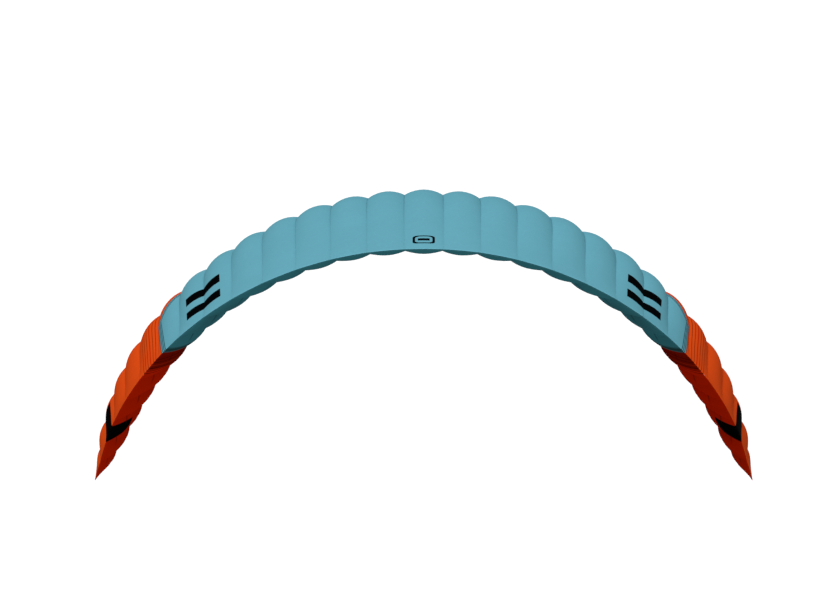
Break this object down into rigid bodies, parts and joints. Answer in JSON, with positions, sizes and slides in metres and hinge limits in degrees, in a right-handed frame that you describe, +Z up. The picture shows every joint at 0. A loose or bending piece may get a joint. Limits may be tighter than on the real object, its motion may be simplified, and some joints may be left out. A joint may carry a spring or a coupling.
{
  "type": "kitesurfing kite",
  "caption": "Ram-air foil kite in its inflated flying shape: an arched, double-skinned fabric wing of bulging cells that pulls a rider along on its lines.",
  "frame": {"origin": "on the middle of the lower skin, 30% of the chord behind the nose, where the pull of the flying lines comes together", "axes": "+X towards the right wing tip, +Y forward to the leading edge, +Z up out of the upper skin"},
  "size_m": [5.011, 1.9753, 2.089],
  "materials": {
    "teal_skin": "coated ripstop cloth, drum-tight, with a soft satin sheen",
    "orange_skin": "coated ripstop cloth, drum-tight, with a soft satin sheen; one cell pinstriped and one crossed by a black band on each side"
  },
  "bodies": {
    "root": {"upper_00": "teal_skin", "upper_r01": "teal_skin", "upper_l01": "teal_skin", "upper_r02": "teal_skin", "upper_l02": "teal_skin", "upper_r03": "teal_skin", "upper_l03": "teal_skin", "upper_r04": "teal_skin", "upper_l04": "teal_skin", "upper_r05": "teal_skin", "upper_l05": "teal_skin", "upper_r06": "teal_skin", "upper_l06": "teal_skin", "upper_r07": "teal_skin", "upper_l07": "teal_skin", "upper_r08": "teal_skin", "upper_l08": "teal_skin", "upper_r09": "orange_skin", "upper_l09": "orange_skin", "upper_r10": "orange_skin", "upper_l10": "orange_skin", "upper_r11": "orange_skin", "upper_l11": "orange_skin", "upper_r12": "orange_skin", "upper_l12": "orange_skin", "upper_r13": "orange_skin", "upper_l13": "orange_skin", "upper_r14": "orange_skin", "upper_l14": "orange_skin", "lower_00": "teal_skin", "lower_r01": "teal_skin", "lower_l01": "teal_skin", "lower_r02": "teal_skin", "lower_l02": "teal_skin", "lower_r03": "teal_skin", "lower_l03": "teal_skin", "lower_r04": "teal_skin", "lower_l04": "teal_skin", "lower_r05": "teal_skin", "lower_l05": "teal_skin", "lower_r06": "teal_skin", "lower_l06": "teal_skin", "lower_r07": "teal_skin", "lower_l07": "teal_skin", "lower_r08": "teal_skin", "lower_l08": "teal_skin", "lower_r09": "orange_skin", "lower_l09": "orange_skin", "lower_r10": "orange_skin", "lower_l10": "orange_skin", "lower_r11": "orange_skin", "lower_l11": "orange_skin", "lower_r12": "orange_skin", "lower_l12": "orange_skin", "lower_r13": "orange_skin", "lower_l13": "orange_skin", "lower_r14": "orange_skin", "lower_l14": "orange_skin"}
  },
  "joints": []
}
